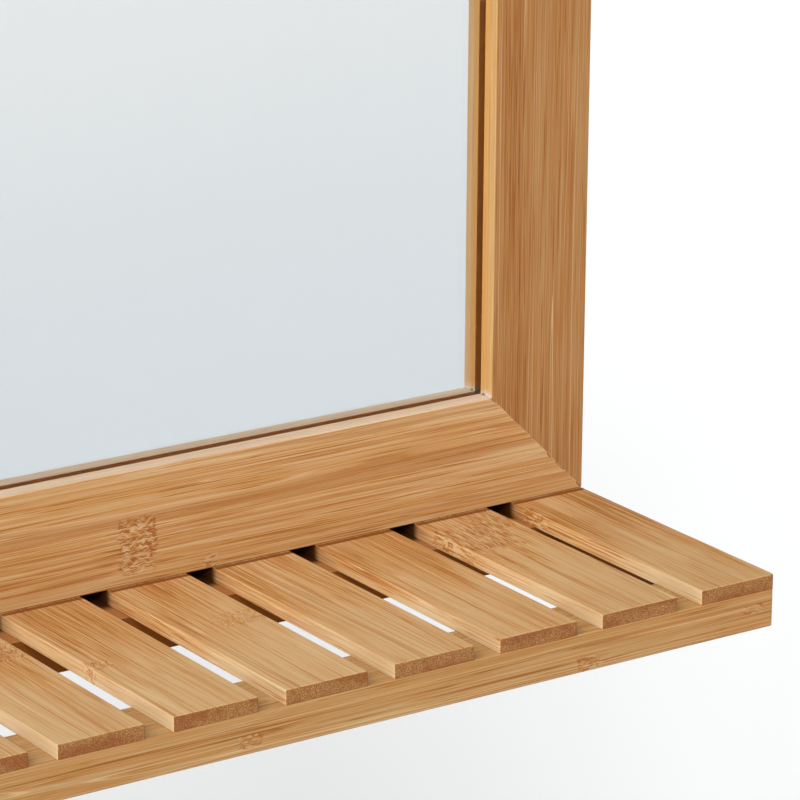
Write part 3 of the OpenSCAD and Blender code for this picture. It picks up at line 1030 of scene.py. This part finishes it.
@dataclass
class MitredFrame:
    """The four members round the glass, with their splines."""

    width: float = 500.0
    height: float = 682.0
    top: float = 60.0

    def finishes(self) -> dict[str, Bamboo]:
        """The finish of each member; the visible corner has the culm nodes that it really shows.

        Returns:
            The finishes by CAD node.
        """
        rail = Bamboo(
            "bamboo_bottom_rail", Grain.ACROSS, seed=2.0, strip=19.5, strip_start=2.0, contrast=0.8,
            bands=0.55, side_light=1.0, body=(1.005, 1.165, 1.35), side=(0.690, 0.540, 0.410),
            mitre_half=(self.width / 2, self.height / 2), mitre_middle=self.top - self.height / 2,
            marks=(
                CulmNode(75.0, -609.0, 6.6, 10.2, 1.0),
                CulmNode(102.0, -619.6, 2.6, 2.4, 0.6),
                CulmNode(-152.0, -596.0, 5.5, 8.0, 0.9),
            ),
        )
        stile = Bamboo(
            "bamboo_right_stile", Grain.UP, seed=5.0, strip=6.5, tone=0.04, contrast=0.95,
            bands=0.7, grooves=0.4, hues=0.7, lines=1.3, drift=0.3, short=1.4, narrow=1.45,
            side_light=1.0, lip_glow=0.60, body=(0.665, 0.620, 0.550), side=(0.640, 0.395, 0.160),
            mitre_half=rail.mitre_half, mitre_middle=rail.mitre_middle,
        )
        top_marks = (CulmNode(-60.0, 43.0, 6.0, 9.0, 0.9), CulmNode(188.0, 32.0, 5.0, 7.0, 0.8))
        return {
            "bottom_rail": rail,
            "right_stile": stile,
            "top_rail": replace(rail, name="bamboo_top_rail", seed=11.0, marks=top_marks),
            "left_stile": replace(stile, name="bamboo_left_stile", seed=17.0),
        }

    def build(self) -> None:
        """Dresses the members and the splines."""
        for node, finish in self.finishes().items():
            dress(node, finish.material())
        dress("corner_splines", Bamboo("bamboo_splines", Grain.ACROSS, seed=23.0, strip=40.0).material())


@dataclass
class GroundPane:
    """A pane of glass with ground edges: a rectangle carried through the thickness in four rings.

    The first and last rings stand back by the width of the ground edge. The front lies on the lip's
    lacquer, a hair off the wood, and the back reaches a hair into the silvering, so that light meets
    the silver inside the glass, as it does in a mirror.
    """

    low: np.ndarray
    high: np.ndarray
    ground: float = 0.35
    off_lip: float = 0.05
    into_silver: float = 0.03

    def surface(self) -> Surface:
        """Works out the mesh: the corners of each ring are middle + sign * (half - inset).

        Returns:
            The surface.
        """
        y0, y1 = self.low[1] + self.off_lip, self.high[1] + self.into_silver
        depth = np.array([y0, y0 + self.ground, y1 - self.ground, y1])
        inset = np.array([self.ground, 0.0, 0.0, self.ground])
        sign = np.array([(1, 1), (-1, 1), (-1, -1), (1, -1)])
        low, high = self.low[[0, 2]], self.high[[0, 2]]
        middle, half = (low + high) / 2, (high - low) / 2
        flat = middle + sign[None] * (half - inset[:, None])[:, None, :]
        return closed_form(flat[..., 0], depth, flat[..., 1])[0]


@dataclass
class MirrorPane:
    """The glass, its silvering, the board behind them and the board's screws."""

    opening_w: float = 424.0
    opening_h: float = 606.0
    middle: float = -281.0
    step_middle: float = 12.25
    board_back: float = -2.5
    up_each_stile: int = 4
    along_each_rail: int = 3

    def screw_seats(self) -> np.ndarray:
        """Spaces the seats of the board's screws evenly round the step of the rebate.

        Returns:
            One row of millimetres for each screw.
        """
        x, y = self.opening_w / 2 + self.step_middle, (self.board_back,)
        z = self.opening_h / 2 + self.step_middle
        up, along = (
            ((np.arange(count) + 0.5) / count - 0.5) * length
            for count, length in (
                (self.up_each_stile, self.opening_h), (self.along_each_rail, self.opening_w)
            )
        )
        sides = [*product((-x, x), y, self.middle + up)]
        ends = [(a, *y, end) for end in (self.middle - z, self.middle + z) for a in along]
        return np.array(sides + ends)

    def build(self) -> None:
        """Dresses the pane and its board, and makes the screws."""
        pane = GroundPane(*node_box("mirror_glass")).surface()
        stand_in(pane.piece("ground_edge_glass", ClearGlass().material(), 0), "mirror_glass")
        dress("mirror_silvering", Silvering().material())
        dress("backing_board", Hardboard().material())
        screw = Screw(Head.PAN, 9.0)
        screw.drive("cross_pan_screws", "board_screws", self.screw_seats(), FORWARDS)


@dataclass
class Hangers:
    """The two keyhole plates in the backs of the stiles, with their screws."""

    spacing: float = 478.5
    middle: float = 4.5
    screw_rise: float = 18.0

    def build(self) -> None:
        """Dresses the plates and makes the screws."""
        plate = PlatedSteel("zinc_plate", grain=1.4).material()
        dress("left_hanger", plate)
        dress("right_hanger", plate)
        x, ends = self.spacing / 2, (self.middle - self.screw_rise, self.middle + self.screw_rise)
        seats = np.array([*product((-x, x), (0.0,), ends)])
        Screw(Head.SUNK, 11.0).drive("cross_plate_screws", "hanger_screws", seats, FORWARDS)


SLAT_TONES = (-0.02, -0.10, 0.01, -0.06, -0.04, -0.09, 0.0, -0.12, -0.10, -0.06, -0.06, -0.01, 0.06)
SLAT_MARKS = {
    3: (CulmNode(-84.0, -157.0, 6.0, 12.0, 0.8),),
    5: (CulmNode(-31.0, -80.0, 5.0, 12.0, 0.6),),
    7: (CulmNode(-45.0, 6.0, 7.0, 9.0, 0.80),),
    8: (CulmNode(-70.0, 27.5, 3.5, 5.0, 0.7),),
    9: (CulmNode(-58.0, 86.0, 5.5, 10.0, 0.55),),
    12: (CulmNode(-38.0, 192.0, 13.0, 12.5, 1.1, 2.2), CulmNode(-25.0, 203.0, 9.0, 8.0, 0.9, 2.2)),
    13: (CulmNode(-29.0, 220.5, 6.0, 3.0, 0.8, 2.0),),
}


@dataclass
class SlattedShelf:
    """The shelf: slats from front to back on a front, a rear and two side rails, screwed from below."""

    slats: int = 13
    corner: float = 1.3
    end_edge: float = 0.5
    under: float = -640.0
    screw_rows: tuple[float, float] = (-109.5, -14.3)
    long_row: float = -7.5
    long_slats: tuple[int, ...] = (1, 4, 8, 11)

    def slat_finish(self, number: int) -> Bamboo:
        """The finish of one slat, with the culm nodes that the real one shows.

        Args:
            number: place of the slat from the left, from 1.

        Returns:
            Its finish.
        """
        return Bamboo(
            f"bamboo_slat_{number:02d}", Grain.FRONT_TO_BACK, seed=31.0 + 7.0 * number, strip=60.0,
            strip_start=300.0,
            tone=SLAT_TONES[number - 1],
            contrast=1.15, bands=1.3, patches=1.0, crisp=1.2, drift=1.2, short=1.7, side_light=0.75,
            edge_wear_and_highlight=0.6, painted_front_light=True, frame_shade_span=(-18.0, -14.0), body=(0.990, 1.115, 1.24),
            side=(0.600, 0.480, 0.295),
            marks=SLAT_MARKS.get(number, ()),
        )

    def _build_slats(self) -> None:
        """Makes the slats, the two outermost with the shelf's own corner radius."""
        for number in range(1, self.slats + 1):
            node = f"slat_{number:02d}"
            left = self.corner if number == 1 else self.end_edge
            right = self.corner if number == self.slats else self.end_edge
            surface, first_end = Slat(number, *node_box(node), left, right).surface()
            piece = surface.piece(f"sanded_{node}", self.slat_finish(number).material(), first_end)
            stand_in(piece, node)

    def _build_screws(self) -> None:
        """Makes the screws that come up from below: two in each slat, and four long ones."""
        middles = [sum(node_box(f"slat_{n + 1:02d}")[k][0] for k in (0, 1)) / 2 for n in range(self.slats)]
        seats = np.array([*product(middles, self.screw_rows, (self.under,))])
        Screw(Head.SUNK, 16.6).drive("cross_slat_screws", "slat_screws", seats, UPWARDS)
        seats = np.array([(middles[k], self.long_row, self.under) for k in self.long_slats])
        long = Screw(Head.SUNK, 38.0, shank_r=2.0, head_r=4.0, head_h=2.4, pitch=1.8)
        long.drive("cross_frame_screws", "frame_screws", seats, UPWARDS)

    def _dress_rails(self) -> None:
        """Dresses the rails and the dowels, with painted shade where they face the inside of the shelf."""
        front = Bamboo(
            "bamboo_front_rail", Grain.ACROSS, seed=41.0, strip=14.0, strip_start=640.5, tone=0.02,
            contrast=0.38, bands=0.30, lines=0.8, drift=1.5, body=(0.755, 0.835, 0.845),
            marks=(
                CulmNode(51.3, -635.4, 4.0, 2.6, 0.7),
                CulmNode(176.3, -637.0, 4.5, 2.6, 0.7),
                CulmNode(242.0, -632.4, 4.5, 1.6, 0.6),
                CulmNode(-120.0, -634.0, 4.5, 3.0, 0.7),
            ),
        )
        rear = replace(
            front,
            name="bamboo_rear_rail", seed=47.0, tone=0.12, shine=0.0, marks=(),
            frame_shade_span=(-20.0, -15.0), open_top=0.0, gloom=(0.150, 0.045, 0.008),
        )
        left = Bamboo(
            "bamboo_side_rails", Grain.FRONT_TO_BACK, seed=53.0, strip=20.0, tone=0.10, shine=0.0,
            body=(0.76, 0.83, 0.81), gloom=(0.142, 0.044, 0.008),
        )
        right = replace(left, name="bamboo_right_side_rail", seed=59.0)
        dowel = Bamboo("beech_dowels", Grain.FRONT_TO_BACK, seed=61.0, strip=60.0, contrast=0.4, bands=0.3)
        nodes = ("front_rail", "rear_rail", "left_side_rail", "right_side_rail", "side_rail_dowels")
        for node, finish in zip(nodes, (front, rear, left, right, dowel)):
            dress(node, finish.material())

    def build(self) -> None:
        """Builds the slats and screws, and dresses the rails and dowels."""
        self._build_slats()
        self._build_screws()
        self._dress_rails()


# ---- studio


@dataclass
class Studio:
    """Camera, floor and light."""

    position: tuple[float, float, float] = (-613.39, -1162.72, -136.72)
    heading: float = 34.4896
    pitch: float = 17.5891
    roll: float = 0.4372
    lens: float = 201.565
    floor_level: float = -1150.0
    floor_half: float = 9000.0
    front_light: float = 0.64
    back_light: float = 0.06
    key_light: float = 0.86
    key_toward: tuple[float, float, float] = (0.75, 0.33, -0.57)
    key_angle: float = 50.0
    fill_light: float = 0.34
    fill_toward: tuple[float, float, float] = (0.475, 0.69, -0.545)
    fill_angle: float = 12.0

    def camera(self) -> None:
        """Places the camera: heading to the right of +Y, pitch below the horizon, then the roll."""
        lens = bpy.data.cameras.new("photo_camera")
        lens.sensor_width, lens.lens = 36.0, self.lens
        lens.clip_start, lens.clip_end = 0.05, 60.0
        thing = bpy.data.objects.new("photo_camera", lens)
        bpy.context.scene.collection.objects.link(thing)
        turn = (
            Matrix.Rotation(math.radians(-self.heading), 4, "Z")
            @ Matrix.Rotation(math.radians(90.0 - self.pitch), 4, "X")
            @ Matrix.Rotation(math.radians(self.roll), 4, "Z")
        )
        thing.matrix_world = Matrix.Translation([c * MM for c in self.position]) @ turn
        bpy.context.scene.camera = thing

    def floor(self) -> None:
        """Lays the floor well below the mirror, which hangs."""
        half = self.floor_half
        corners = np.array([(-half, -half), (half, -half), (half, half), (-half, half)])
        points = np.column_stack([corners, np.full(4, self.floor_level)])
        floor = Surface(points, [np.array([[0, 1, 2, 3]])]).piece("studio_floor", PaperFloor().material())

    def sun(self, name: str, light: float, toward: Sequence[float], angle: float) -> None:
        """Adds a distant soft light.

        Args:
            name: name of the light.
            light: what it adds to a white surface that faces it, on a scale where white is 1.
            toward: the way the light travels.
            angle: how wide the light is in the sky, in degrees.
        """
        lamp = bpy.data.lights.new(name, "SUN")
        lamp.energy, lamp.angle = light * math.pi, math.radians(angle)
        thing = bpy.data.objects.new(name, lamp)
        bpy.context.scene.collection.objects.link(thing)
        thing.matrix_world = Vector(toward).to_track_quat("-Z", "Y").to_matrix().to_4x4()

    def world(self) -> None:
        """Fills the room with white light that eases from strong in front to weak behind."""
        tree = ShaderTree(bpy.data.worlds.new("studio"))
        direction = tree.split(tree.add("ShaderNodeTexCoord"))
        behind = direction[1].ease(-0.45, 0.75)
        strength = self.front_light + behind * (self.back_light - self.front_light)
        light = {"Color": (1.0, 1.0, 1.0, 1.0), "Strength": strength}
        tree.add("ShaderNodeOutputWorld", {}, {"Surface": tree.add("ShaderNodeBackground", {}, light)})
        bpy.context.scene.world = tree.owner

    def build(self) -> None:
        """Sets up the camera, the floor, the room's light, the key from the left and the fill."""
        self.camera()
        self.floor()
        self.world()
        self.sun("key", self.key_light, self.key_toward, self.key_angle)
        self.sun("fill", self.fill_light, self.fill_toward, self.fill_angle)
        view = bpy.context.scene.view_settings
        view.view_transform, view.look = "Standard", "None"


def main() -> None:
    """Builds the mirror's looks in order."""
    logging.basicConfig(level=logging.INFO, format="%(name)s %(message)s")
    Studio().build()
    for assembly in (MitredFrame(), MirrorPane(), Hangers(), SlattedShelf()):
        assembly.build()


if __name__ == "__main__":
    main()
